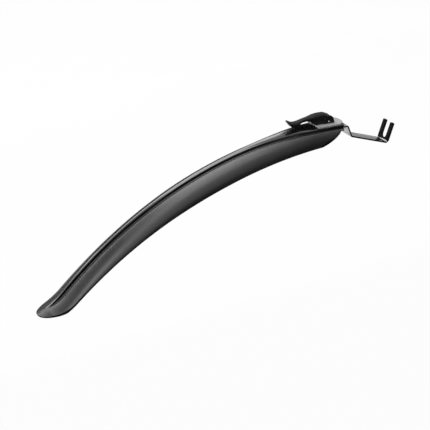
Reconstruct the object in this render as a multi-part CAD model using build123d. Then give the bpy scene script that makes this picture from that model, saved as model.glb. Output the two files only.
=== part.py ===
from build123d import *
import os
from math import sin, cos, radians, degrees, exp

# Slim road-bicycle mudguard: blade, quick-release clamp, bent strap and rubber-covered fork.
# Millimetres. +X forward, +Z up. Origin: seat of the fork slot, on the bolt axis.

# Fork and strap
fork_lean = 21.0           # forward lean of the fork in the mounted pose, degrees
strap_thick = 2.0
strap_width = 20.0
slot_width = 9.6           # open slot of the finished fork, rubber to rubber
sleeve_wall = 0.6
sleeve_gap = 0.1           # rubber clear of the lower bend
prong_rise = 17.6          # prong tips above the bolt axis
tip_round = 1.2
web_height = 3.2           # from the slot down to the flat
flat_length = 59.2
riser_length = 16.5
riser_drop = 69.0          # slope of the riser, degrees below horizontal
bend_radius = 2.0          # middle-line radius of every bend
shoulder_back = 9.5        # wide part of the tongue behind the upper fold
tongue_width = 16.0
tongue_length = 56.0       # tongue behind the upper fold
tongue_round = 4.0

# Blade
crest_radius = 500.0
nose_slope = -6.5          # crest slope at the nose, degrees
blade_length = 472.3       # along the crest
flick_length = 39.9        # end of the tail that turns outward
flick_radius = 93.6
half_width = 23.6
tail_narrow = 0.041        # share of the half width lost towards the tail
nose_drop = 18.4           # depth of the side edge below the crest
waist_drop = 23.9
tail_drop = 10.1
waist_at = 186.0           # crest length to the deepest place
drop_power = 1.54
bulge_tail = 0.66          # roundness of the sides at the tail, 1 is a quarter ellipse
bulge_start = 223.4        # distances from the tail between which the sides flatten and narrow
bulge_end = 23.4
wall = 1.8
rib_height = 3.0
rib_run = 0.7              # sideways run of the rib wall
rib_camber = 0.13          # crown of the rib top against its half width
rib_fade = 0.15            # height left where the rib has died out
rib_short = 13.4           # rib stops this far from the tail
ridge_front = 5.2          # half width of the plain ridge at the nose end
ridge_tail = 1.25
shoulder_extra = 9.0       # extra half width of the rib under the clamp
shoulder_at = 35.0
shoulder_spread = 62.7
tail_round = 43.8          # length of the rounded tail end
nose_round = 16.0          # length of the rounded nose
nose_trim = 1.2            # taken off the nose
end_ease = 0.1             # plan rounding beyond the side edges
head_start_x = 76.0        # slanted head edge, back from and down from the nose crest
head_start_z = 21.2
head_low_x = 55.2
head_low_z = 19.6
head_high_x = 38.5
head_high_z = 15.9
head_end_x = 11.6
head_end_z = 2.9
head_lip_z = 2.6

# Clamp, measured from the crest tangent at the clamp centre
clamp_at = 25.0            # crest length from the nose to the clamp centre
fold_ahead = 29.4          # upper fold of the strap ahead of the clamp centre
tongue_deep = 3.4          # top of the tongue below the crest tangent
slide_gap = 0.4            # play of the tongue in its channel
seat_rise = 0.5            # flat seat of the top plate
seat_half = 12.2
plate_thick = 2.2
plate_half = 13.0
plate_lag = 3.5            # rear edge of the plate ahead of the pad
plate_front = 23.5
plate_corner = 11.0
plate_heel = 1.0
plate_edge = 0.5
seat_inset = 1.2
seat_play = 0.15           # room behind the plate where its seat is cut into the crown
tongue_show = 5.6          # end of the tongue behind the pad
pad_front = 14.0           # flat pad for the keeper, under the blade
pad_half = 14.0
keeper_thick = 1.6
keeper_inset = 0.8
keeper_corner = 3.0
screw_radius = 1.25
screw_head_radius = 2.2
screw_head_high = 1.5
screw_head_edge = 0.4
screw_inset = 7.0          # screws from the ends of the pad
screw_y = 11.1
screw_bite = 1.6           # screw length inside the top plate
screw_play = 0.03
hex_across = 2.0
hex_deep = 0.9

# Lever, block and pin
pin_x = 2.2
pin_z = 5.1
pin_radius = 1.25
pin_play = 0.05
pin_press = 0.02
pin_stand = 0.3            # pin end beyond the block
block_half = 6.6
block_radius = 7.8
block_foot = 0.9           # toe of the block ahead of its round
block_edge = 1.0
block_bridge = 1.2
root_half = 3.2
move_gap = 0.35            # gap between pieces that move past each other
peg_radius = 1.2
peg_ahead = 5.2
peg_y = 5.0
cam_half = 2.8
cam_tip = 1.8
lever_length = 57.8
lever_top = 16.6
lever_half = 6.4
lever_front = 2.4
lever_dome = 3.2           # rise of the rounded lever top
lever_taper = 0.92         # underside width against the side width

far = 2 * half_width       # reach of the cutting tools
flick_start = blade_length - flick_length
rib_end = blade_length - rib_short
pad_back = fold_ahead - tongue_length + tongue_show
plate_back = pad_back + plate_lag
sleeve_thick = strap_thick + 2 * sleeve_wall
seat_radius = slot_width / 2
fork_up = Vector(sin(radians(fork_lean)), 0, cos(radians(fork_lean)))
fork_back = Vector(-cos(radians(fork_lean)), 0, sin(radians(fork_lean)))
clamp_slope = nose_slope + degrees(clamp_at / crest_radius)
clamp_fore = Vector(cos(radians(clamp_slope)), 0, sin(radians(clamp_slope)))
clamp_rise = Vector(-sin(radians(clamp_slope)), 0, cos(radians(clamp_slope)))

# Middle line of the strap
corner = fork_up * -(seat_radius + web_height + strap_thick / 2)
low_bend = corner + fork_back * flat_length
riser_back = Vector(-cos(radians(riser_drop)), 0, sin(radians(riser_drop)))
fold = low_bend + riser_back * riser_length
clamp_centre = fold - clamp_fore * fold_ahead + clamp_rise * (tongue_deep + strap_thick / 2)
clamp = Location(Plane(clamp_centre, x_dir=clamp_fore, z_dir=clamp_rise))
fork_plane = Plane((0, 0, 0), x_dir=(0, -1, 0), z_dir=fork_back)


def crest_angle(s):
    """Slope of the crest at length s from the nose, radians, positive where it falls backward."""
    if s <= flick_start:
        return radians(nose_slope) + s / crest_radius
    turned = radians(nose_slope) + flick_start / crest_radius
    return turned - (s - flick_start) / flick_radius


def crest_offset(s):
    """Crest point at length s, measured from the nose."""
    a = radians(nose_slope)
    b = crest_angle(min(s, flick_start))
    x = -crest_radius * (sin(b) - sin(a))
    z = crest_radius * (cos(b) - cos(a))
    if s > flick_start:
        c = crest_angle(s)
        x += flick_radius * (sin(c) - sin(b))
        z -= flick_radius * (cos(c) - cos(b))
    return Vector(x, 0, z)


nose = clamp_centre - crest_offset(clamp_at)


def section_plane(s):
    """Plane across the blade: x to the left side, y away from the wheel."""
    a = crest_angle(s)
    return Plane(nose + crest_offset(s), x_dir=(0, 1, 0), z_dir=(cos(a), 0, sin(a)))


def side_drop(s):
    if s < waist_at:
        return waist_drop - (waist_drop - nose_drop) * ((waist_at - s) / waist_at) ** 2
    reach = (s - waist_at) / (blade_length - waist_at)
    return waist_drop - (waist_drop - tail_drop) * reach ** drop_power


def rib_half(s):
    ridge = ridge_tail + (ridge_front - ridge_tail) * (1 - s / blade_length)
    return ridge + shoulder_extra * exp(-((s - shoulder_at) / shoulder_spread) ** 2)


def rib_step(s):
    left = max(0.0, 1 - (s / rib_end) ** 6)
    return rib_fade + (rib_height - rib_fade) * left


def towards_tail(s):
    reach = (s - blade_length + bulge_start) / (bulge_start - bulge_end)
    return min(1.0, max(0.0, reach))


def bulge(s):
    return 1 + (bulge_tail - 1) * towards_tail(s)


def side_half(s):
    return half_width * (1 - tail_narrow * towards_tail(s))


def flank(y0, z0, y1, z1, b):
    """Rounded side from the rib foot to the side edge."""
    k = 0.5523 * b
    m = (1 - b) / 3
    first = (y0 + (k + m) * (y1 - y0), z0 + m * (z1 - z0))
    second = (y1 - m * (y1 - y0), z1 - (k + m) * (z1 - z0))
    return Bezier((y0, z0), first, second, (y1, z1))


def both(line):
    return line + mirror(line, about=Plane.YZ)


def outer_half(s):
    """Right half of the outside: side, rib wall and half of the crowned rib top."""
    r = rib_half(s)
    step = rib_step(s)
    foot = r + rib_run * step / rib_height
    line = flank(foot, -step, side_half(s), -side_drop(s), bulge(s))
    return line + Line((r, 0), (foot, -step))


def rib_top(s):
    r = rib_half(s)
    crown = rib_camber * r * rib_step(s) / rib_height + rib_fade / 3
    return ThreePointArc((-r, 0), (0, crown), (r, 0))


def filled_section(s):
    low = -side_drop(s)
    wide = side_half(s)
    line = both(outer_half(s)) + rib_top(s) + Line((wide, low), (-wide, low))
    return section_plane(s) * make_face(line)


def shell_section(s):
    step = rib_step(s)
    foot = rib_half(s) + rib_run * step / rib_height
    roof = -step - wall
    low = -side_drop(s)
    wide = side_half(s)
    edge = wide - wall
    line = both(outer_half(s)) + rib_top(s)
    line += both(flank(foot, roof, edge, low, bulge(s)) + Line((edge, low), (wide, low)))
    line += Line((-foot, roof), (foot, roof))
    return section_plane(s) * make_face(line)


# Places of the blade sections, as shares of the blade length
shares = [0, 0.03, 0.063, 0.101, 0.139, 0.182, 0.228, 0.283, 0.359, 0.454, 0.56, 0.665]
shares += [0.76, 0.845, 0.892, 0.919, 0.945, 0.97, 0.995, 1.014]
stations = [share * blade_length for share in shares]
plate_low = seat_rise
plate_top = seat_rise + plate_thick
keeper_top = -(tongue_deep + strap_thick + slide_gap)
keeper_low = keeper_top - keeper_thick
pad_middle = (pad_back + pad_front) / 2
screw_half_x = (pad_front - pad_back) / 2 - screw_inset
eye_radius = pin_z - plate_top - move_gap
cam_reach = pin_z + tongue_deep - move_gap
window_back = pin_x - cam_reach - move_gap
window_front = pin_x + eye_radius + move_gap
belly = plate_top + move_gap

# Lever sections from the thumb end: shares of its length, top (underside, top) and half width
flat_under = belly / lever_top
lever_rows = [
    (-1.0, 0.741, 0.807, 0.37),
    (-0.962, 0.596, 0.788, 0.67),
    (-0.903, 0.361, 0.69, 0.81),
    (-0.796, 0.145, 0.625, 0.86),
    (-0.692, 0.373, 0.681, 0.73),
    (-0.576, 0.53, 0.783, 0.625),
    (-0.467, 0.518, 0.867, 0.67),
    (-0.346, 0.289, 0.952, 0.875),
    (-0.225, flat_under, 0.994, 0.985),
    (-0.104, flat_under, 1.0, 1.0),
    (lever_front / lever_length, flat_under, 0.8, 1.0),
]


def box(x0, x1, half, z0, z1):
    return Pos((x0 + x1) / 2, 0, (z0 + z1) / 2) * Box(x1 - x0, 2 * half, z1 - z0)


def screw_spots():
    return [Pos(pad_middle + i * screw_half_x, j * screw_y, 0) for i in (-1, 1) for j in (-1, 1)]


def upright(radius, z0, z1):
    return Pos(0, 0, (z0 + z1) / 2) * Cylinder(radius, z1 - z0)


def side_shape(sketch, half):
    """Extrude a side outline, drawn as x and z, to both sides of the middle plane."""
    return extrude(Plane.XZ * sketch, half, both=True)


def across(x, z, radius, half):
    return Pos(x, 0, z) * Rot(90, 0, 0) * Cylinder(radius, 2 * half)


def tail_cutter():
    s = blade_length - tail_round / 2
    a = crest_angle(s)
    plane = Plane(nose + crest_offset(s), x_dir=(cos(a), 0, sin(a)), z_dir=(-sin(a), 0, cos(a)))
    spare = Pos(-tail_round / 2, 0) * Rectangle(2 * tail_round, 3 * half_width)
    spare -= Pos(tail_round / 2, 0) * Ellipse(tail_round, side_half(blade_length) + end_ease)
    return extrude(plane * spare, far, both=True)


def head_cutter():
    """Everything below the slanted head edge, drawn from the nose crest."""
    start = (-head_start_x, -head_start_z)
    end = (-head_end_x, -head_end_z)
    sweep_up = Spline(start, (-head_low_x, -head_low_z), (-head_high_x, -head_high_z), end)
    ahead = nose_round + nose_trim
    rest = Polyline(end, (ahead, -head_lip_z), (ahead, -far), (-head_start_x, -far), start)
    return Pos(nose.X, 0, nose.Z) * side_shape(make_face(sweep_up + rest), far)


def nose_cutter():
    tip = clamp_at - nose_trim
    spare = Pos(tip, 0) * Rectangle(2 * nose_round, 4 * half_width)
    spare -= Pos(tip - nose_round, 0) * Ellipse(nose_round, half_width + end_ease)
    return extrude(spare, far, both=True)


def window(play):
    return box(window_back, window_front, cam_half + play, -far, far)


def blade():
    envelope = loft([filled_section(s) for s in stations[:7]])
    shell = loft([shell_section(s) for s in stations])
    shell -= head_cutter()
    shell -= tail_cutter()
    shell += envelope & clamp * box(pad_back, pad_front, pad_half, keeper_top, -rib_height / 2)
    shell += clamp * box(plate_back + seat_inset, plate_front - seat_inset, seat_half, -wall, seat_rise)
    roof = slide_gap - tongue_deep
    channel = keeper_low - screw_head_high
    tools = box(fold_ahead - tongue_length - slide_gap, far, tongue_width / 2 + slide_gap, channel, roof)
    tools += box(fold_ahead - shoulder_back - slide_gap, far, strap_width / 2 + slide_gap, -far, roof)
    tools += window(move_gap)
    tools += nose_cutter()
    tools += box(plate_back - seat_play, far, far, seat_rise, far)
    for spot in screw_spots():
        tools += spot * upright(screw_radius + screw_play, -far, far)
    return shell - clamp * tools


def strap():
    top = fork_up * (prong_rise - sleeve_wall)
    tongue_end = fold - clamp_fore * tongue_length
    path = FilletPolyline(top, corner, low_bend, fold, tongue_end, radius=bend_radius)
    start = Plane(top, x_dir=(0, 1, 0), z_dir=fork_up * -1)
    strip = sweep(start * Rectangle(strap_width, strap_thick), path=path)
    strip -= extrude(fork_plane * slot_outline(seat_radius + sleeve_wall), sleeve_thick, both=True)
    keep_front = fold_ahead - shoulder_back
    for sign in (-1, 1):
        trim = Box(2 * tongue_length, far, far)
        strip -= clamp * (Pos(keep_front - tongue_length, sign * (tongue_width + far) / 2, 0) * trim)
    upright_edges = strip.edges().filter_by(Axis((0, 0, 0), tuple(clamp_rise)))
    return fillet(upright_edges.sort_by(Axis.X)[:2], tongue_round)


def slot_outline(radius):
    return Circle(radius) + Pos(0, prong_rise) * Rectangle(2 * radius, 2 * prong_rise)


def fork_sleeve():
    wide = strap_width + 2 * sleeve_wall
    low = -(seat_radius + web_height + strap_thick / 2) + bend_radius + sleeve_gap
    cover = Pos(0, (prong_rise + low) / 2) * Rectangle(wide, prong_rise - low)
    cover -= slot_outline(seat_radius)
    solid = extrude(fork_plane * cover, sleeve_thick / 2, both=True)
    through = solid.edges().filter_by(Axis((0, 0, 0), tuple(fork_back)))
    tips = through.sort_by(Axis((0, 0, 0), tuple(fork_up)))[-4:]
    solid = fillet(tips, tip_round)
    return solid - strap()


def top_plate():
    x0, x1 = plate_back, plate_front
    plan = Pos((x0 + x1) / 2, 0) * Rectangle(x1 - x0, 2 * plate_half)
    plan = fillet(plan.vertices().sort_by(Axis.X)[-2:], plate_corner)
    plan = fillet(plan.vertices().sort_by(Axis.X)[:2], plate_heel)
    plate = Pos(0, 0, plate_low) * extrude(plan, plate_thick)
    plate = fillet(plate.faces().sort_by(Axis.Z)[-1].edges(), plate_edge)
    plate -= window(move_gap)
    for spot in screw_spots():
        plate -= spot * upright(screw_radius + screw_play, -far, plate_low + screw_bite + screw_play)
    for sign in (-1, 1):
        plate -= Pos(pin_x + peg_ahead, sign * peg_y, 0) * upright(peg_radius + screw_play, -far, far)
    return clamp * plate


def hinge_block():
    side = Pos(pin_x, pin_z) * Circle(block_radius)
    toe = Line((pin_x, plate_top), (pin_x + block_radius + block_foot, plate_top))
    side = make_hull(side.edges() + toe.edges())
    side -= Pos(pin_x, plate_top - block_radius) * Rectangle(4 * block_radius, 2 * block_radius)
    block = side_shape(side, block_half)
    cheeks = block.faces().sort_by(Axis.Y)
    rims = cheeks[0].edges() + cheeks[-1].edges()
    block = fillet(rims.filter_by(lambda edge: edge.center().Z > plate_top + screw_play), block_edge)
    slot = root_half + move_gap
    block -= box(-far, window_front, slot, -far, far)
    block -= box(window_front - block_bridge, far, slot, plate_top + block_bridge, far)
    block -= across(pin_x, pin_z, pin_radius + pin_press, far)
    for sign in (-1, 1):
        peg = upright(peg_radius, plate_low, plate_top + block_edge / 2)
        block += Pos(pin_x + peg_ahead, sign * peg_y, 0) * peg
    return clamp * block


def lever_pin():
    pin = Cylinder(pin_radius, 2 * (block_half + pin_stand))
    pin = chamfer(pin.edges(), pin_stand)
    return clamp * (Pos(pin_x, 0, pin_z) * Rot(90, 0, 0) * pin)


def lever_section(along, under, over, wide):
    x = along * lever_length
    low = under * lever_top
    high = over * lever_top
    half = wide * lever_half
    dome = min(lever_dome, 0.55 * (high - low))
    foot = lever_taper * half
    side = flank(0, high, half, high - dome, 0.9) + Line((half, high - dome), (foot, low))
    plane = Plane((x, 0, 0), x_dir=(0, 1, 0), z_dir=(1, 0, 0))
    return plane * make_face(both(side) + Line((foot, low), (-foot, low)))


def lever():
    body = loft([lever_section(*row) for row in lever_rows])
    body -= box(plate_back - move_gap, far, far, -far, belly)
    root = body & box(plate_back, pin_x, root_half, belly, far)
    body -= across(pin_x, pin_z, block_radius + move_gap, far)
    root += across(pin_x, pin_z, eye_radius, root_half)
    tip_z = pin_z - cam_reach + cam_tip
    finger = across(pin_x, tip_z, cam_tip, cam_half)
    finger += box(pin_x - cam_tip, pin_x + cam_tip, cam_half, tip_z, pin_z)
    whole = body + root + finger
    whole -= across(pin_x, pin_z, pin_radius + pin_play, far)
    return clamp * whole


def keeper():
    x0 = pad_back + keeper_inset
    x1 = pad_front - keeper_inset
    plan = Pos((x0 + x1) / 2, 0) * RectangleRounded(x1 - x0, 2 * (pad_half - keeper_inset), keeper_corner)
    plate = Pos(0, 0, keeper_low) * extrude(plan, keeper_thick)
    for spot in screw_spots():
        plate -= spot * upright(screw_radius + screw_play, -far, far)
    return clamp * plate


def keeper_screws():
    screws = []
    for spot in screw_spots():
        head = upright(screw_head_radius, keeper_low - screw_head_high, keeper_low)
        head = chamfer(head.faces().sort_by(Axis.Z)[0].edges(), screw_head_edge)
        head += upright(screw_radius, keeper_low, plate_low + screw_bite)
        socket = extrude(RegularPolygon(hex_across / 2, 6, major_radius=False), hex_deep)
        head -= Pos(0, 0, keeper_low - screw_head_high) * socket
        screws.append(clamp * (spot * head))
    return Compound(children=screws)


os.makedirs("parts", exist_ok=True)
for make in (blade, strap, fork_sleeve, top_plate, hinge_block, lever_pin, lever, keeper, keeper_screws):
    export_step(make(), f"parts/{make.__name__}.step")
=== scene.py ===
from math import cos, exp, pi, radians, sin, sqrt

import bpy
import bmesh
from mathutils import Matrix, Vector


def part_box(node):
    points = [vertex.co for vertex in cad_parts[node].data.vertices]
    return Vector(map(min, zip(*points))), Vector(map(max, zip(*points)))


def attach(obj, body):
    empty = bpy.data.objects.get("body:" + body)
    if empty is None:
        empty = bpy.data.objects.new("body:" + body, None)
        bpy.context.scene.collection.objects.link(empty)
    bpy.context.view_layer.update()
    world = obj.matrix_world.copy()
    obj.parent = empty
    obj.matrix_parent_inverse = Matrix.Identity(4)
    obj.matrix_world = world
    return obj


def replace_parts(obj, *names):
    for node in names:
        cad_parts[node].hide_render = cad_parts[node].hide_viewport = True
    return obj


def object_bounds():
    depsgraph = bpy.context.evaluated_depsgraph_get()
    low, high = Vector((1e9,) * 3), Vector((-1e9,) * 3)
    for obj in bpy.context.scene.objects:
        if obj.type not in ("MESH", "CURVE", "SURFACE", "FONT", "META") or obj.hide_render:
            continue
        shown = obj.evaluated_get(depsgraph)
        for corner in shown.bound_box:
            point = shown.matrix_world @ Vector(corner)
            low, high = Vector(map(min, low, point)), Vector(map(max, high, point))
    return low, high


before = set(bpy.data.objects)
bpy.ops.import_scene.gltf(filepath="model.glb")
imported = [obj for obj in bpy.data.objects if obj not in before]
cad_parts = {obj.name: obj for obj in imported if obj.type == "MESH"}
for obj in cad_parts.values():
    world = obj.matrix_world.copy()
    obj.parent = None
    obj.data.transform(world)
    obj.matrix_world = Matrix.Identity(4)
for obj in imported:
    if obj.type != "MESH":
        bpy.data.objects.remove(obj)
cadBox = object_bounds()
mm = 0.001
standUp = Matrix.Rotation(radians(90), 3, "X")  # lays Z along -Y, and Y along Z
print("frame loaded:", ", ".join(sorted(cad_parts)))


def addNode(tree, kind, place, sockets={}, **settings):
    node = tree.nodes.new(kind)
    node.location = place
    for key, value in settings.items():
        setattr(node, key, value)
    for key, value in sockets.items():
        node.inputs[key].default_value = value
    return node


# every pattern takes a place and two sizes, and gives a tone, a relief and a sheen
def patternGroup(name):
    tree = bpy.data.node_groups.new(name, "ShaderNodeTree")
    tree.interface.new_socket("Vector", in_out="INPUT", socket_type="NodeSocketVector")
    for label in ("Fine", "Broad"):
        tree.interface.new_socket(label, in_out="INPUT", socket_type="NodeSocketFloat")
    for label in ("Tone", "Relief", "Sheen"):
        tree.interface.new_socket(label, in_out="OUTPUT", socket_type="NodeSocketFloat")
    start = addNode(tree, "NodeGroupInput", (-900, 0))
    return tree, start, addNode(tree, "NodeGroupOutput", (700, 0))


def spreadOut(tree, source, low, high, place):
    node = addNode(tree, "ShaderNodeMapRange", place, {"From Min": low, "From Max": high})
    tree.links.new(source, node.inputs["Value"])
    return node.outputs["Result"]


def blend(tree, first, second, share, place):  # second over first by a fixed share
    node = addNode(tree, "ShaderNodeMix", place, {"Factor": share})
    tree.links.new(first, node.inputs["A"])
    tree.links.new(second, node.inputs["B"])
    return node.outputs["Result"]


def makeMouldGrain():  # spark-eroded mould texture with slow clouds in the gloss
    tree, start, end = patternGroup("mouldGrain")
    link = tree.links.new
    fine = addNode(tree, "ShaderNodeTexNoise", (-650, 250), {"Detail": 3.0, "Roughness": 0.6})
    pits = addNode(tree, "ShaderNodeTexVoronoi", (-650, 0))
    cloud = addNode(tree, "ShaderNodeTexNoise", (-650, -250), {"Detail": 4.0, "Roughness": 0.55})
    for texture, size in ((fine, "Fine"), (pits, "Fine"), (cloud, "Broad")):
        link(start.outputs["Vector"], texture.inputs["Vector"])
        link(start.outputs[size], texture.inputs["Scale"])
    slow = spreadOut(tree, cloud.outputs["Fac"], 0.32, 0.68, (-350, -250))
    quick = spreadOut(tree, fine.outputs["Fac"], 0.3, 0.7, (-350, 250))
    link(blend(tree, slow, quick, 0.35, (100, 200)), end.inputs["Tone"])
    relief = blend(tree, pits.outputs["Distance"], fine.outputs["Fac"], 0.6, (100, 0))
    link(relief, end.inputs["Relief"])
    link(slow, end.inputs["Sheen"])
    return tree


def makeDrawnLines():  # fine lines of rolled strip, along X of the pattern
    tree, start, end = patternGroup("drawnLines")
    link = tree.links.new
    stretch = addNode(tree, "ShaderNodeMapping", (-750, 200), {"Scale": (1.0, 30.0, 1.0)})
    lines = addNode(tree, "ShaderNodeTexNoise", (-500, 200), {"Detail": 4.0, "Roughness": 0.7})
    stain = addNode(tree, "ShaderNodeTexNoise", (-500, -150), {"Detail": 3.0})
    link(start.outputs["Vector"], stretch.inputs["Vector"])
    link(stretch.outputs["Vector"], lines.inputs["Vector"])
    link(start.outputs["Vector"], stain.inputs["Vector"])
    link(start.outputs["Fine"], lines.inputs["Scale"])
    link(start.outputs["Broad"], stain.inputs["Scale"])
    thin = spreadOut(tree, lines.outputs["Fac"], 0.3, 0.7, (-250, 200))
    slow = spreadOut(tree, stain.outputs["Fac"], 0.3, 0.7, (-250, -150))
    link(blend(tree, slow, thin, 0.4, (100, 200)), end.inputs["Tone"])
    link(thin, end.inputs["Relief"])
    link(blend(tree, slow, thin, 0.6, (100, -100)), end.inputs["Sheen"])
    return tree


def makeBlastedGrit():  # grit-blasted metal: mottled specks of two sizes
    tree, start, end = patternGroup("blastedGrit")
    link = tree.links.new
    grit = addNode(tree, "ShaderNodeTexNoise", (-650, 250), {"Detail": 5.0, "Roughness": 0.75})
    specks = addNode(tree, "ShaderNodeTexVoronoi", (-650, 0))
    cloud = addNode(tree, "ShaderNodeTexNoise", (-650, -250), {"Detail": 2.0})
    for texture, size in ((grit, "Fine"), (specks, "Fine"), (cloud, "Broad")):
        link(start.outputs["Vector"], texture.inputs["Vector"])
        link(start.outputs[size], texture.inputs["Scale"])
    sharp = spreadOut(tree, grit.outputs["Fac"], 0.35, 0.65, (-350, 250))
    slow = spreadOut(tree, cloud.outputs["Fac"], 0.3, 0.7, (-350, -250))
    link(blend(tree, sharp, slow, 0.3, (100, 200)), end.inputs["Tone"])
    relief = blend(tree, grit.outputs["Fac"], specks.outputs["Distance"], 0.5, (100, 0))
    link(relief, end.inputs["Relief"])
    link(sharp, end.inputs["Sheen"])
    return tree


patterns = {
    "mouldGrain": makeMouldGrain(),
    "drawnLines": makeDrawnLines(),
    "blastedGrit": makeBlastedGrit(),
}


def makeRub():  # handled edges: the piece's own edge mark, broken up by noise
    tree = bpy.data.node_groups.new("edgeRub", "ShaderNodeTree")
    tree.interface.new_socket("Vector", in_out="INPUT", socket_type="NodeSocketVector")
    tree.interface.new_socket("Edge", in_out="INPUT", socket_type="NodeSocketFloat")
    tree.interface.new_socket("Mask", in_out="OUTPUT", socket_type="NodeSocketFloat")
    start = addNode(tree, "NodeGroupInput", (-700, 0))
    end = addNode(tree, "NodeGroupOutput", (500, 0))
    patchy = addNode(tree, "ShaderNodeTexNoise", (-450, 150), {"Scale": 220.0, "Detail": 4.0})
    tree.links.new(start.outputs["Vector"], patchy.inputs["Vector"])
    broken = spreadOut(tree, patchy.outputs["Fac"], 0.4, 0.62, (-200, 150))
    both = addNode(tree, "ShaderNodeMath", (150, 0), operation="MULTIPLY")
    tree.links.new(broken, both.inputs[0])
    tree.links.new(start.outputs["Edge"], both.inputs[1])
    tree.links.new(both.outputs[0], end.inputs["Mask"])
    return tree


rubGroup = makeRub()
reliefDepth = 0.1 * mm  # full height of every finish's grain


def colourMix(tree, place, low, high, factor):
    mix = addNode(tree, "ShaderNodeMix", place, data_type="RGBA")
    for socket, value in ((mix.inputs[6], low), (mix.inputs[7], high)):
        if isinstance(value, tuple):
            socket.default_value = (*value, 1.0)
        else:
            tree.links.new(value, socket)
    tree.links.new(factor, mix.inputs[0])
    return mix.outputs[2]


def grey(tone):
    return (tone, tone, tone)


def makeFinish(name, spec):
    material = bpy.data.materials.new(name)
    material.use_nodes = True
    tree = material.node_tree
    shader = tree.nodes["Principled BSDF"]
    link = tree.links.new
    coords = addNode(tree, "ShaderNodeTexCoord", (-1300, 0))
    angles = [radians(a) for a in spec.get("turn", (0, 0, 0))]
    turn = addNode(tree, "ShaderNodeMapping", (-1100, 0), {"Rotation": angles})
    link(coords.outputs["Object"], turn.inputs["Vector"])
    pattern = addNode(tree, "ShaderNodeGroup", (-850, 0), node_tree=patterns[spec["pattern"]])
    pattern.inputs["Fine"].default_value = spec["fine"]
    pattern.inputs["Broad"].default_value = spec["broad"]
    link(turn.outputs["Vector"], pattern.inputs["Vector"])
    edge = addNode(tree, "ShaderNodeAttribute", (-1100, -350), attribute_name="edge")
    rub = addNode(tree, "ShaderNodeGroup", (-850, -350), node_tree=rubGroup)
    link(coords.outputs["Object"], rub.inputs["Vector"])
    link(edge.outputs["Fac"], rub.inputs["Edge"])
    tone = colourMix(tree, (-500, 300), spec["dark"], spec["pale"], pattern.outputs["Tone"])
    worn = colourMix(tree, (-250, 300), tone, spec["rubbed"], rub.outputs["Mask"])
    link(worn, shader.inputs["Base Color"])
    smooth, coarse = spec["rough"]
    sheen = addNode(tree, "ShaderNodeMapRange", (-500, 0), {"To Min": smooth, "To Max": coarse})
    link(pattern.outputs["Sheen"], sheen.inputs["Value"])
    link(sheen.outputs["Result"], shader.inputs["Roughness"])
    depth = {"Strength": spec["bump"], "Distance": reliefDepth}
    bump = addNode(tree, "ShaderNodeBump", (-250, -250), depth)
    link(pattern.outputs["Relief"], bump.inputs["Height"])
    link(bump.outputs["Normal"], shader.inputs["Normal"])
    shader.inputs["Metallic"].default_value = spec.get("metal", 0.0)
    shader.inputs["Specular IOR Level"].default_value = spec.get("specular", 0.5)
    return material


print("patterns ready")

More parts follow.
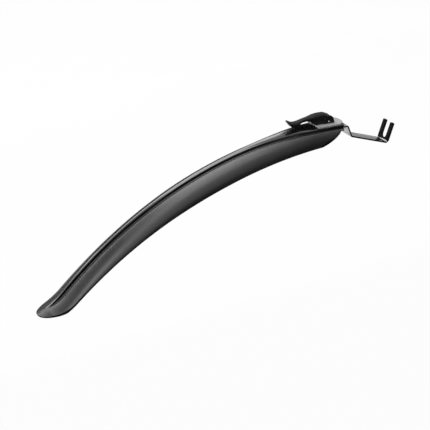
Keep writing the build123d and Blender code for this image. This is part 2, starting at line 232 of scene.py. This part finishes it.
bladeFinish = {  # satin sides, and a glossier rib whose darker base colour is painted shade on the rib wall; the same dark gloss is laid as painted shade along the head's edge
    "sides": {
        "pattern": "mouldGrain", "fine": 1400.0, "broad": 45.0, "bump": 0.1, "specular": 0.85,
        "dark": (0.0115, 0.0113, 0.012), "pale": (0.0165, 0.0162, 0.0172),
        "rubbed": (0.02, 0.02, 0.021), "rough": (0.34, 0.41),
    },
    # the rib's higher gloss is its own; its darker base colour is painted shade for the rib wall and for
    # the band along the head's edge
    "rib": {
        "pattern": "mouldGrain", "fine": 1400.0, "broad": 60.0, "bump": 0.03, "specular": 1.0,
        "dark": grey(0.005), "pale": grey(0.008), "rubbed": grey(0.012), "rough": (0.1, 0.16),
    },
}
blade = {  # millimetres and degrees
    # crest line, from the nose back to the flicked tail
    "nose": (-68.5685, 32.2644), "noseSlope": -6.5, "crestRadius": 500.0, "length": 472.3,
    "flickLength": 39.9, "flickRadius": 93.6,
    # sides
    "halfWidth": 23.6, "tailNarrow": 0.041, "wall": 1.8,
    "noseDrop": 18.4, "waistDrop": 23.9, "tailDrop": 10.1, "waistAt": 186.0, "dropPower": 1.54,
    "bulgeTail": 0.66, "bulgeStart": 223.4, "bulgeEnd": 23.4,
    # rib, its rounded top and the groove along its foot
    "ribHeight": 3.0, "ribRun": 0.7, "ribFade": 0.02, "ribShort": 13.4, "fadePower": 40,
    "ribCamber": 0.13, "crownMore": 0.07, "crownFrom": 46.0, "crownRun": 24.0, "crownPower": 3,
    "ridgeFront": 5.2, "ridgeTail": 1.25,
    "shoulderExtra": 9.0, "shoulderAt": 35.0, "shoulderSpread": 62.7,
    "grooveDeep": 1.0, "grooveWide": 5.0,
    # rounded ends, and the slanted head edge as places from the nose
    "tailRound": 43.8, "noseRound": 16.0, "noseTrim": 1.2, "planSpare": 0.1,
    "headEdge": [(-76.0, -21.4), (-55.2, -20.1), (-38.5, -16.5), (-11.6, -3.9)],
    # a band this high over the head edge, up to this far from the nose, gets the rib's dark gloss as
    # painted shade
    "headLip": (17.2, -9.0), "paintedShadeHeight": 3.2, "paintedShadeEnd": 42.0,
    # seat of the plate, channel for the tongue, pads beside it and window for the cam
    "clampAt": 25.0, "seatEnd": 42.65, "seatHalf": 12.2, "seatRise": 0.5,
    "channelTop": 3.0, "channelHalf": 8.4, "channelEnd": 52.0, "channelShare": 0.75,
    "mouthHalf": 10.4, "mouthEnd": 5.5, "padLow": 5.8, "padHalf": 14.0, "padSpan": (11.0, 46.0),
    "window": (20.4, 31.3), "windowHalf": 3.15,
    # rounded edges
    "edgeRound": 0.35, "footRound": 0.6, "heelRound": 0.3, "rimRound": 0.45, "rimLip": 2.6,
    "endRound": 0.9,
    # points round the half section
    "topSpots": (0.3, 0.45, 0.62, 0.8), "cornerSteps": 3, "sideSteps": 28, "innerSteps": 12,
    "crowding": 1.25, "heelSteps": 2, "rimSteps": 4,
    # rows along the crest
    "noseRows": 17, "tailRows": 28, "closeRows": 3.0, "wideRows": 5.5, "closeUntil": 110.0,
    "cutRows": 0.02, "hair": 0.001, "weld": 0.002, "smoothAngle": 40,
}
quarterArc = 0.5523  # handle of a curve that follows a quarter round
halvings = 30  # steps that find where a cut crosses a side
longestRound = 0.45  # share of an edge that one rounded corner may take


def crestAngle(s):
    turn = blade["length"] - blade["flickLength"]
    angle = radians(blade["noseSlope"]) + min(s, turn) / blade["crestRadius"]
    return angle - max(0.0, s - turn) / blade["flickRadius"]


def crestPoint(s):
    turn = blade["length"] - blade["flickLength"]
    a = radians(blade["noseSlope"])
    b = crestAngle(min(s, turn))
    x = blade["nose"][0] - blade["crestRadius"] * (sin(b) - sin(a))
    z = blade["nose"][1] + blade["crestRadius"] * (cos(b) - cos(a))
    if s > turn:
        c = crestAngle(s)
        x += blade["flickRadius"] * (sin(c) - sin(b))
        z -= blade["flickRadius"] * (cos(c) - cos(b))
    return x, z


def sectionPlace(s, y, h):  # y across, h above the crest line
    x, z = crestPoint(s)
    a = crestAngle(s)
    return Vector((x - h * sin(a), y, z + h * cos(a)))


def sideDrop(s):
    waist = blade["waistAt"]
    if s < waist:
        return blade["waistDrop"] - (blade["waistDrop"] - blade["noseDrop"]) * ((waist - s) / waist) ** 2
    reach = (s - waist) / (blade["length"] - waist)
    return blade["waistDrop"] - (blade["waistDrop"] - blade["tailDrop"]) * reach ** blade["dropPower"]


def ribHalf(s):
    taper = (blade["ridgeFront"] - blade["ridgeTail"]) * (1 - s / blade["length"])
    shoulder = exp(-((s - blade["shoulderAt"]) / blade["shoulderSpread"]) ** 2)
    return blade["ridgeTail"] + taper + blade["shoulderExtra"] * shoulder


def ribStep(s):
    left = max(0.0, 1 - (s / (blade["length"] - blade["ribShort"])) ** blade["fadePower"])
    return blade["ribFade"] + (blade["ribHeight"] - blade["ribFade"]) * left


def towardsTail(s):
    reach = (s - blade["length"] + blade["bulgeStart"]) / (blade["bulgeStart"] - blade["bulgeEnd"])
    return min(1.0, max(0.0, reach))


def roundness(s):
    return 1 + (blade["bulgeTail"] - 1) * towardsTail(s)


def sideHalf(s):
    return blade["halfWidth"] * (1 - blade["tailNarrow"] * towardsTail(s))


def crownAt(s, whole, step):  # the rib top is flatter where it meets the plate
    away = min(1.0, max(0.0, (s - blade["crownFrom"]) / blade["crownRun"]))
    camber = blade["ribCamber"] + blade["crownMore"] * away * away * (3 - 2 * away)
    return camber * whole * step / blade["ribHeight"] + blade["ribFade"] / 3


def weigh(weights, points):
    return tuple(sum(w * p[i] for w, p in zip(weights, points)) for i in (0, 1))


def flankAt(t, start, end, b):  # from a straight side at b = 0 to a quarter round at b = 1
    k = quarterArc * b
    m = (1 - b) / 3
    dy, dh = end[0] - start[0], end[1] - start[1]
    p1 = (start[0] + (k + m) * dy, start[1] + m * dh)
    p2 = (end[0] - m * dy, end[1] - (k + m) * dh)
    u = 1 - t
    return weigh((u ** 3, 3 * u * u * t, 3 * u * t * t, t ** 3), (start, p1, p2, end))


def headEdge(x):  # lowest kept height at the slanted head edge, from the nose crest
    points = blade["headEdge"]
    if x < points[0][0]:
        return -1000.0
    last, lip = points[-1], blade["headLip"]
    if x > last[0]:
        return last[1] + (lip[1] - last[1]) * (x - last[0]) / (lip[0] - last[0])
    total = 0.0  # one smooth curve through all the points
    for xi, zi in points:
        share = zi
        for xj, zj in points:
            if xi != xj:
                share *= (x - xj) / (xi - xj)
        total += share
    return total


def planHalf(s):  # half width left by the rounded nose and tail
    full = blade["halfWidth"] + blade["planSpare"]
    noseMiddle = blade["noseTrim"] + blade["noseRound"]
    tailMiddle = blade["length"] - blade["tailRound"]
    if s < noseMiddle:
        return full * sqrt(max(0.0, 1 - ((noseMiddle - s) / blade["noseRound"]) ** 2))
    if s > tailMiddle:
        tail = sideHalf(blade["length"]) + blade["planSpare"]
        return tail * sqrt(max(0.0, 1 - ((s - tailMiddle) / blade["tailRound"]) ** 2))
    return full + 1


def keptShare(s, start, end, b):  # share of a side that the head and plan cuts leave
    def kept(t):
        y, h = flankAt(t, start, end, b)
        place = sectionPlace(s, y, h)
        return y <= planHalf(s) and place.z - blade["nose"][1] >= headEdge(place.x - blade["nose"][0])

    if kept(1.0):
        return 1.0
    low, high = 0.0, 1.0
    for turn in range(halvings):
        middle = (low + high) / 2
        low, high = (middle, high) if kept(middle) else (low, middle)
    return low


def towards(p, q, reach):
    length = sqrt((q[0] - p[0]) ** 2 + (q[1] - p[1]) ** 2)
    share = 0.0 if length < 1e-9 else min(longestRound, reach / length)
    return (p[0] + (q[0] - p[0]) * share, p[1] + (q[1] - p[1]) * share)


def roundCorner(before, corner, after, reach, count):
    first, last = towards(corner, before, reach), towards(corner, after, reach)
    points = []
    for i in range(count + 1):
        t = i / count
        points.append(weigh(((1 - t) ** 2, 2 * t * (1 - t), t * t), (first, corner, last)))
    return points


def bladeRing(s):  # half section: rib top, rib wall, side, rim, then back along the inside
    limit = planHalf(s)
    b = roundness(s)
    step = ribStep(s)
    whole = ribHalf(s)
    r = min(whole, limit)
    foot = min(whole + blade["ribRun"] * step / blade["ribHeight"], limit)
    crown = crownAt(s, whole, step)
    sag = (s - blade["clampAt"]) ** 2 / (2 * blade["crestRadius"])
    low, wide = -sideDrop(s), sideHalf(s)
    lip = blade["rimLip"] * (1 - b) / (1 - blade["bulgeTail"])
    stands = limit > whole  # the rib wall is still inside the rounded end
    groove = blade["grooveDeep"] * step / blade["ribHeight"] if stands else 0.0

    def topAt(y):
        if s < blade["seatEnd"] and y < blade["seatHalf"]:
            return (y, blade["seatRise"] + sag)
        return (y, crown * (1 - (y / whole) ** blade["crownPower"]))

    def withGroove(point):  # shallow groove along the foot of the rib
        left = max(0.0, 1 - (point[0] - foot) / blade["grooveWide"])
        return (point[0], point[1] - groove * left * left)

    sideStart, sideEnd = (foot, -step if stands else 0.0), (wide, low + lip)
    keep = keptShare(s, sideStart, sideEnd, b) if stands else 0.0
    side, steps = [], blade["sideSteps"]
    for i in range(steps + 1):
        t = keep * (1 - (1 - i / steps) ** blade["crowding"])
        side.append(withGroove(flankAt(t, sideStart, sideEnd, b)))

    spots = [0.0] + [r * share for share in blade["topSpots"]]
    spots[1] = min(spots[1], blade["windowHalf"])
    top = [topAt(y) for y in spots]
    edge = roundCorner(top[-1], topAt(r), side[0], blade["edgeRound"], blade["cornerSteps"])
    corner = roundCorner(topAt(r), side[0], side[2], blade["footRound"], blade["cornerSteps"])

    x, z = crestPoint(s)
    roof = max(-step - blade["wall"], headEdge(x - blade["nose"][0]) - z + blade["nose"][1])
    innerStart, innerEnd = (foot, roof), (max(wide - blade["wall"], foot), low)
    innerKeep = keptShare(s, innerStart, innerEnd, b) if stands else 0.0
    inner, steps = [], blade["innerSteps"]
    for i in range(steps + 1):
        t = innerKeep * (1 - (i / steps) ** blade["crowding"])
        inner.append(flankAt(t, innerStart, innerEnd, b))
    outEnd, inEnd = side[-1], inner[0]
    heel = (outEnd[0], min(outEnd[1], inEnd[1]))
    rim = roundCorner(side[-3], outEnd, heel, blade["heelRound"], blade["heelSteps"])
    rim += roundCorner(outEnd, heel, inEnd, blade["rimRound"], blade["rimSteps"])
    rim += roundCorner(heel, inEnd, inner[2], blade["rimRound"], blade["rimSteps"])

    ceiling, rail = roof, roof
    half = blade["channelHalf"]
    if s < blade["channelEnd"]:
        ceiling = max(sag - blade["channelTop"], roof)
    if s < blade["mouthEnd"]:
        half = blade["mouthHalf"]
    if blade["padSpan"][0] <= s <= blade["padSpan"][1]:
        rail = sag - blade["padLow"]
    railOut, railIn = min(blade["padHalf"], foot), min(half, foot * blade["channelShare"])
    under = [(railOut, roof), (railOut, rail), (railIn, rail), (railIn, ceiling)]
    under += [(min(spots[1], railIn), ceiling), (0.0, ceiling)]
    ring = top + edge + corner + side[2:-2] + rim + inner[2:] + under

    fromNose, fromTail = s - blade["noseTrim"], blade["length"] - s
    nearEnd = min(1.0, fromNose / blade["endRound"], fromTail / blade["endRound"])
    if nearEnd < 1.0:  # the two ends close in a rounded tip
        thin = sqrt(max(0.0, 1 - (1 - nearEnd) ** 2))
        middle = (top[0][1] + ceiling) / 2
        ring = [(y, middle + (h - middle) * thin) for y, h in ring]
    return ring


def bladeStations():
    spots = []
    noseMiddle = blade["noseTrim"] + blade["noseRound"]
    tailMiddle = blade["length"] - blade["tailRound"]
    for i in range(blade["noseRows"]):
        spots.append(noseMiddle - blade["noseRound"] * cos(i / blade["noseRows"] * pi / 2))
    s = noseMiddle
    while s < tailMiddle - 1:
        spots.append(s)
        s += blade["closeRows"] if s < blade["closeUntil"] else blade["wideRows"]
    for i in range(blade["tailRows"] + 1):
        spots.append(tailMiddle + blade["tailRound"] * sin(i / blade["tailRows"] * pi / 2))
    for cut in (blade["mouthEnd"], *blade["padSpan"], blade["seatEnd"], blade["channelEnd"]):
        spots += [cut - blade["cutRows"], cut + blade["cutRows"]]  # a row on each side of a step
    return sorted(spots + list(blade["window"]))


def newPiece(name, bm, body, materials):
    mesh = bpy.data.meshes.new(name)
    bm.to_mesh(mesh)
    bm.free()
    piece = bpy.data.objects.new(name, mesh)
    bpy.context.scene.collection.objects.link(piece)
    for material in materials:
        mesh.materials.append(material)
    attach(piece, body)
    return piece


def shadeByAngle(bm, limit):
    for f in bm.faces:
        f.smooth = True
    for e in bm.edges:
        e.smooth = len(e.link_faces) == 2 and e.calc_face_angle() < radians(limit)


def buildBlade():
    stations = bladeStations()
    rings = [bladeRing(s) for s in stations]
    rows, columns = len(stations), len(rings[0])
    topPoints = len(blade["topSpots"]) + 1
    ribColumns = topPoints + blade["cornerSteps"] + 3  # rib top, its edge and half of the foot's corner
    rimRubbed = blade["heelSteps"] + blade["rimSteps"] + 2
    rimPoints = rimRubbed + blade["rimSteps"] + 1
    underPoints = 6
    rimStart = columns - underPoints - (blade["innerSteps"] - 1) - rimPoints
    bm = bmesh.new()
    bmesh.ops.create_grid(bm, x_segments=columns - 1, y_segments=rows - 1, size=1.0)
    edgeMark = bm.verts.layers.float.new("edge")
    for v in bm.verts:
        j = round((v.co.x + 1) / 2 * (columns - 1))
        i = round((v.co.y + 1) / 2 * (rows - 1))
        v.co = sectionPlace(stations[i], *rings[i][j]) * mm
        onTopEdge = topPoints <= j < topPoints + blade["cornerSteps"]
        v[edgeMark] = 1.0 if onTopEdge or rimStart <= j < rimStart + rimRubbed else 0.0
    hole = []
    front, back = (end - blade["hair"] for end in blade["window"])
    for index, f in enumerate(bm.faces):
        column, row = index % (columns - 1), index // (columns - 1)
        s = stations[row]
        onRib = column < ribColumns and s < blade["length"] - blade["ribShort"]
        middle = f.calc_center_median() / mm
        above = middle.z - blade["nose"][1] - headEdge(middle.x - blade["nose"][0])
        # outside faces close over the head edge get the rib's dark gloss as painted shade
        onOutside = column < rimStart + rimRubbed and s < blade["paintedShadeEnd"]
        inPaintedHeadShade = onOutside and above < blade["paintedShadeHeight"]
        f.material_index = 1 if onRib or inPaintedHeadShade else 0
        if front < s < back and column in (0, columns - 2):
            hole.append(f)
    bmesh.ops.delete(bm, geom=hole, context="FACES")
    everything = bm.verts[:] + bm.edges[:] + bm.faces[:]
    bmesh.ops.mirror(bm, geom=everything, axis="Y", merge_dist=blade["hair"] * mm)
    bmesh.ops.remove_doubles(bm, verts=bm.verts, dist=blade["weld"] * mm)
    bmesh.ops.dissolve_degenerate(bm, edges=bm.edges, dist=blade["weld"] * mm)
    openEdges = [e for e in bm.edges if e.is_boundary]
    bmesh.ops.bridge_loops(bm, edges=openEdges)
    bmesh.ops.recalc_face_normals(bm, faces=bm.faces)
    shadeByAngle(bm, blade["smoothAngle"])
    finishes = [makeFinish("satinBlack", bladeFinish["sides"])]
    finishes.append(makeFinish("ribGlossPaintedShade", bladeFinish["rib"]))
    return newPiece("bladeShell", bm, "guard", finishes)


bladeShell = buildBlade()
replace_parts(bladeShell, "blade")
print("blade made:", len(bladeShell.data.polygons), "faces")


easing = {"weld": 0.003, "flatAngle": 0.5, "sharpAngle": 35.0, "segments": 3}


# the solid's own shape with softened edges
def easedCopy(name, node, body, finish, ease, sharp=easing["sharpAngle"]):
    bm = bmesh.new()
    bm.from_mesh(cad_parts[node].data)
    bmesh.ops.remove_doubles(bm, verts=bm.verts, dist=easing["weld"] * mm)
    flat = radians(easing["flatAngle"])
    bmesh.ops.dissolve_limit(bm, angle_limit=flat, verts=bm.verts, edges=bm.edges)
    edgeMark = bm.verts.layers.float.new("edge")
    if ease > 0:
        joined = [e for e in bm.edges if len(e.link_faces) == 2]
        edges = [e for e in joined if e.calc_face_angle() > radians(sharp)]
        made = bmesh.ops.bevel(
            bm, geom=edges, offset=ease * mm, offset_type="OFFSET", affect="EDGES",
            segments=easing["segments"], profile=0.5, material=-1, clamp_overlap=True,
        )
        for f in made["faces"]:
            for v in f.verts:
                v[edgeMark] = 1.0
    shadeByAngle(bm, sharp)
    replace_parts(newPiece(name, bm, body, [finish]), node)


strapFinish = {  # bright rolled steel
    "pattern": "drawnLines", "fine": 70.0, "broad": 60.0, "turn": (0, 21, 0), "bump": 0.05,
    "dark": grey(0.15), "pale": grey(0.45), "rubbed": grey(0.45),
    "rough": (0.15, 0.25), "metal": 1.0, "ease": 0.1,
}
strapSteel = makeFinish("strapSteel", strapFinish)
easedCopy("strapBar", "strap", "bracket", strapSteel, strapFinish["ease"])

sleeveFinish = {  # dull black rubber
    "pattern": "mouldGrain", "fine": 1600.0, "broad": 180.0, "bump": 0.35, "specular": 0.08,
    "dark": grey(0.004), "pale": grey(0.009), "rubbed": grey(0.014),
    "rough": (0.58, 0.7), "ease": 0.25,
}
sleeveRubber = makeFinish("sleeveRubber", sleeveFinish)
easedCopy("forkRubber", "fork_sleeve", "bracket", sleeveRubber, sleeveFinish["ease"])

plateFinish = {  # pale blasted silver that mirrors nothing
    "pattern": "blastedGrit", "fine": 700.0, "broad": 90.0, "bump": 0.25, "metal": 0.0,
    "dark": grey(0.34), "pale": grey(0.52), "rubbed": grey(0.46),
    "rough": (0.55, 0.68), "ease": 0.0,
}
plateSilver = makeFinish("plateSilver", plateFinish)
easedCopy("silverPlate", "top_plate", "guard", plateSilver, plateFinish["ease"])

leverFinish = {  # matt black, for the lever and the block it turns in
    "pattern": "mouldGrain", "fine": 1800.0, "broad": 120.0, "bump": 0.18, "specular": 0.22,
    "dark": (0.006, 0.006, 0.0065), "pale": (0.011, 0.011, 0.0115),
    "rubbed": (0.02, 0.02, 0.021), "rough": (0.4, 0.48),
    "ease": 0.3, "sharpAngle": 40.0, "blockEase": 0.15,
}
leverBlack = makeFinish("leverBlack", leverFinish)
easedCopy(
    "thumbLever", "lever", "handle", leverBlack,
    leverFinish["ease"], leverFinish["sharpAngle"],
)
easedCopy("pivotBlock", "hinge_block", "guard", leverBlack, leverFinish["blockEase"])

pinFinish = {  # turned steel, for the pin and the screws
    "pattern": "drawnLines", "fine": 120.0, "broad": 200.0, "turn": (0, 0, 90), "bump": 0.06,
    "dark": grey(0.78), "pale": grey(0.92), "rubbed": grey(0.95),
    "rough": (0.26, 0.34), "metal": 1.0,
    "dome": 0.98, "domeSteps": 6, "around": 40, "smoothAngle": 40, "screwEase": 0.06,
}


def buildPin(finish):  # round bar across the block with domed ends
    low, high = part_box("lever_pin")
    middle, length, radius = (low + high) / 2, high.y - low.y, (high.x - low.x) / 2
    dome = pinFinish["dome"] * mm
    bm = bmesh.new()
    bmesh.ops.create_cone(
        bm, cap_ends=True, cap_tris=False, segments=pinFinish["around"],
        radius1=radius, radius2=radius, depth=length,
    )
    ends = [e for e in bm.edges if abs(e.verts[0].co.z - e.verts[1].co.z) < 1e-6]
    bmesh.ops.bevel(
        bm, geom=ends, offset=dome, offset_type="OFFSET", affect="EDGES",
        segments=pinFinish["domeSteps"], profile=0.5, material=-1, clamp_overlap=True,
    )
    edgeMark = bm.verts.layers.float.new("edge")
    for v in bm.verts:
        v[edgeMark] = 1.0 if abs(v.co.z) > length / 2 - dome else 0.0
    bmesh.ops.rotate(bm, cent=(0, 0, 0), matrix=standUp, verts=bm.verts)
    bmesh.ops.translate(bm, vec=middle, verts=bm.verts)
    shadeByAngle(bm, pinFinish["smoothAngle"])
    return newPiece("pivotPin", bm, "guard", [finish])


turnedSteel = makeFinish("turnedSteel", pinFinish)
pivotPin = buildPin(turnedSteel)
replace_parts(pivotPin, "lever_pin")
easedCopy("keeperScrews", "keeper_screws", "guard", turnedSteel, pinFinish["screwEase"])

keeperFinish = {  # brushed steel under the blade
    "pattern": "drawnLines", "fine": 70.0, "broad": 80.0, "turn": (0, 0, 90), "bump": 0.12,
    "dark": (0.4, 0.4, 0.41), "pale": (0.54, 0.54, 0.55), "rubbed": grey(0.62),
    "rough": (0.28, 0.42), "metal": 1.0, "ease": 0.15,
}
keeperSteel = makeFinish("keeperSteel", keeperFinish)
easedCopy("keeperPlate", "keeper", "guard", keeperSteel, keeperFinish["ease"])
print("other pieces made")

studio = {  # metres and degrees
    "floorDrop": 0.16, "floorMiddle": (-0.25, 0.6), "floorHalf": 3.0,
    "floorTone": 0.9, "floorRough": 0.9, "floorShine": 0.1, "white": 0.97, "fill": 0.25,
    "camera": (-1.02773, -1.42942, 0.743118), "azimuth": 28.39323, "elevation": 26.06165,
    "roll": -1.71653, "lens": 121.683, "sensor": 36.0, "clip": (0.05, 50.0),
}
softboxes = {
    "skyBox": {"from": (-0.24, 0.5, 1.25), "to": (-0.24, 0.25, 0.0), "size": (0.7, 1.1), "glow": 3.05},
    "nearSky": {"from": (-0.3, -0.4, 1.25), "to": (-0.3, -0.2, 0.0), "size": (0.9, 0.7), "glow": 1.9},
    "leftBox": {"from": (-1.35, -0.9, 0.9), "to": (-0.43, 0.0, -0.07), "size": (0.9, 0.7), "glow": 2.1},
    "farBox": {"from": (-0.75, 1.35, 0.75), "to": (-0.4, 0.0, 0.0), "size": (1.4, 0.95), "glow": 2.8},
    "farBoxRight": {"from": (0.35, 1.35, 0.75), "to": (0.0, 0.0, 0.0), "size": (0.8, 0.95), "glow": 2.0},
}
# only reflections show these cards: they hold the dark edges and screen the lamps behind them
greyCards = {
    "farLeft": {"across": (-1.65, -0.75), "y": (1.0, 1.0), "up": (-0.13, 0.38), "glow": 0.0},
    "farMiddle": {"across": (-0.75, 0.15), "y": (1.0, 1.0), "up": (-0.13, 0.58), "glow": 0.0},
    "leftTop": {"across": (-2.2, -0.86), "y": (-0.45, 0.9), "up": (1.15, 1.15), "glow": 0.35},
    "farRight": {"across": (0.15, 0.36), "y": (1.0, 1.0), "up": (-0.24, 0.41), "glow": 0.0},
    "farEnd": {"across": (0.36, 0.74), "y": (1.0, 1.0), "up": (-0.24, 1.0), "glow": 0.0},
    "farSide": {"across": (0.74, 1.4), "y": (1.0, 1.0), "up": (-0.24, 0.5), "glow": 0.44},
    "nearLow": {"across": (-1.8, -0.15), "y": (-1.0, -1.0), "up": (-0.24, 0.02), "glow": 0.0},
    "nearLowRight": {"across": (-0.15, 1.4), "y": (-0.98, -0.98), "up": (-0.24, 0.11), "glow": 0.0},
    "nearMiddle": {"across": (-0.4, 0.12), "y": (-1.0, -1.0), "up": (0.02, 1.0), "glow": 0.75},
    "nearRight": {"across": (0.12, 1.4), "y": (-1.0, -1.0), "up": (0.1, 1.0), "glow": 0.14},
    "rightTop": {"across": (0.2, 1.3), "y": (-1.0, 0.16), "up": (1.15, 1.15), "glow": 0.3},
    "lowCard": {"across": (-1.6, 1.0), "y": (-1.2, 0.15), "up": (-0.25, -0.25), "glow": 0.0},
}


def mirrorsSeeWhite(tree):  # one for camera, glossy and transmission rays
    path = addNode(tree, "ShaderNodeLightPath", (-900, 300))
    first = addNode(tree, "ShaderNodeMath", (-650, 300), operation="MAXIMUM")
    second = addNode(tree, "ShaderNodeMath", (-450, 300), operation="MAXIMUM")
    tree.links.new(path.outputs["Is Camera Ray"], first.inputs[0])
    tree.links.new(path.outputs["Is Glossy Ray"], first.inputs[1])
    tree.links.new(first.outputs[0], second.inputs[0])
    tree.links.new(path.outputs["Is Transmission Ray"], second.inputs[1])
    return second.outputs[0]


def stagePlane(name, across, y, up, material):  # lies flat, or stands where y doesn't change
    bm = bmesh.new()
    bmesh.ops.create_grid(bm, x_segments=2, y_segments=2, size=0.5)
    standing = y[0] == y[1]
    tall = up[1] - up[0] if standing else y[1] - y[0]
    bmesh.ops.scale(bm, vec=(across[1] - across[0], tall, 1.0), verts=bm.verts)
    if standing:
        bmesh.ops.rotate(bm, cent=(0, 0, 0), matrix=standUp, verts=bm.verts)
    middle = [sum(ends) / 2 for ends in (across, y, up)]
    bmesh.ops.translate(bm, vec=middle, verts=bm.verts)
    mesh = bpy.data.meshes.new(name)
    bm.to_mesh(mesh)
    bm.free()
    mesh.materials.append(material)
    plane = bpy.data.objects.new(name, mesh)
    bpy.context.scene.collection.objects.link(plane)
    return plane


def makeFloor():
    material = bpy.data.materials.new("floorPale")
    material.use_nodes = True
    tree = material.node_tree
    shader = tree.nodes["Principled BSDF"]
    shader.inputs["Base Color"].default_value = (*grey(studio["floorTone"]), 1.0)
    shader.inputs["Roughness"].default_value = studio["floorRough"]
    shader.inputs["Specular IOR Level"].default_value = studio["floorShine"]
    share = addNode(tree, "ShaderNodeMath", (-200, 300), operation="MULTIPLY")
    share.inputs[1].default_value = studio["white"]
    tree.links.new(mirrorsSeeWhite(tree), share.inputs[0])
    glow = addNode(tree, "ShaderNodeEmission", (100, -200), {"Strength": 1.0})
    mixed = addNode(tree, "ShaderNodeMixShader", (400, 100))
    tree.links.new(share.outputs[0], mixed.inputs[0])
    tree.links.new(shader.outputs[0], mixed.inputs[1])
    tree.links.new(glow.outputs[0], mixed.inputs[2])
    tree.links.new(mixed.outputs[0], tree.nodes["Material Output"].inputs["Surface"])
    half, z = studio["floorHalf"], cadBox[0].z - studio["floorDrop"]
    across, along = ((place - half, place + half) for place in studio["floorMiddle"])
    stagePlane("studioFloor", across, along, (z, z), material)


def makeWorld():
    world = bpy.data.worlds.new("studioWorld")
    bpy.context.scene.world = world
    world.use_nodes = True
    tree = world.node_tree
    white = mirrorsSeeWhite(tree)
    tone = colourMix(tree, (-250, 100), grey(studio["fill"]), grey(1.0), white)
    tree.links.new(tone, tree.nodes["Background"].inputs["Color"])


def makeCards():
    for name, spec in greyCards.items():
        material = bpy.data.materials.new(name + "Paper")
        material.use_nodes = True
        shader = material.node_tree.nodes["Principled BSDF"]
        shader.inputs["Base Color"].default_value = (0.0, 0.0, 0.0, 1.0)
        shader.inputs["Specular IOR Level"].default_value = 0.0
        shader.inputs["Emission Color"].default_value = (1.0, 1.0, 1.0, 1.0)
        shader.inputs["Emission Strength"].default_value = spec["glow"]
        card = stagePlane(name, spec["across"], spec["y"], spec["up"], material)
        card.visible_camera = False
        card.visible_diffuse = False
        card.visible_transmission = False


def makeLights():
    for name, spec in softboxes.items():
        lamp = bpy.data.lights.new(name, "AREA")
        lamp.shape = "RECTANGLE"
        lamp.size, lamp.size_y = spec["size"]
        lamp.energy = spec["glow"] * pi * lamp.size * lamp.size_y
        box = bpy.data.objects.new(name, lamp)
        bpy.context.scene.collection.objects.link(box)
        box.location = spec["from"]
        aim = Vector(spec["to"]) - Vector(spec["from"])
        box.rotation_euler = aim.to_track_quat("-Z", "Y").to_euler()
        box.visible_camera = False


def makeCamera():
    data = bpy.data.cameras.new("photoCamera")
    data.lens = studio["lens"]
    data.sensor_width = studio["sensor"]
    data.clip_start, data.clip_end = studio["clip"]
    camera = bpy.data.objects.new("photoCamera", data)
    bpy.context.scene.collection.objects.link(camera)
    a, e, r = (radians(studio[k]) for k in ("azimuth", "elevation", "roll"))
    right = Vector((cos(a), -sin(a), 0))
    ahead = Vector((sin(a) * cos(e), cos(a) * cos(e), -sin(e)))
    up = right.cross(ahead)
    right, up = right * cos(r) + up * sin(r), up * cos(r) - right * sin(r)
    turn = Matrix((right, up, -ahead)).transposed()
    camera.matrix_world = Matrix.Translation(studio["camera"]) @ turn.to_4x4()
    bpy.context.scene.camera = camera


makeFloor()
makeWorld()
makeCards()
makeLights()
makeCamera()
bpy.context.scene.view_settings.view_transform = "Standard"
print("studio ready")
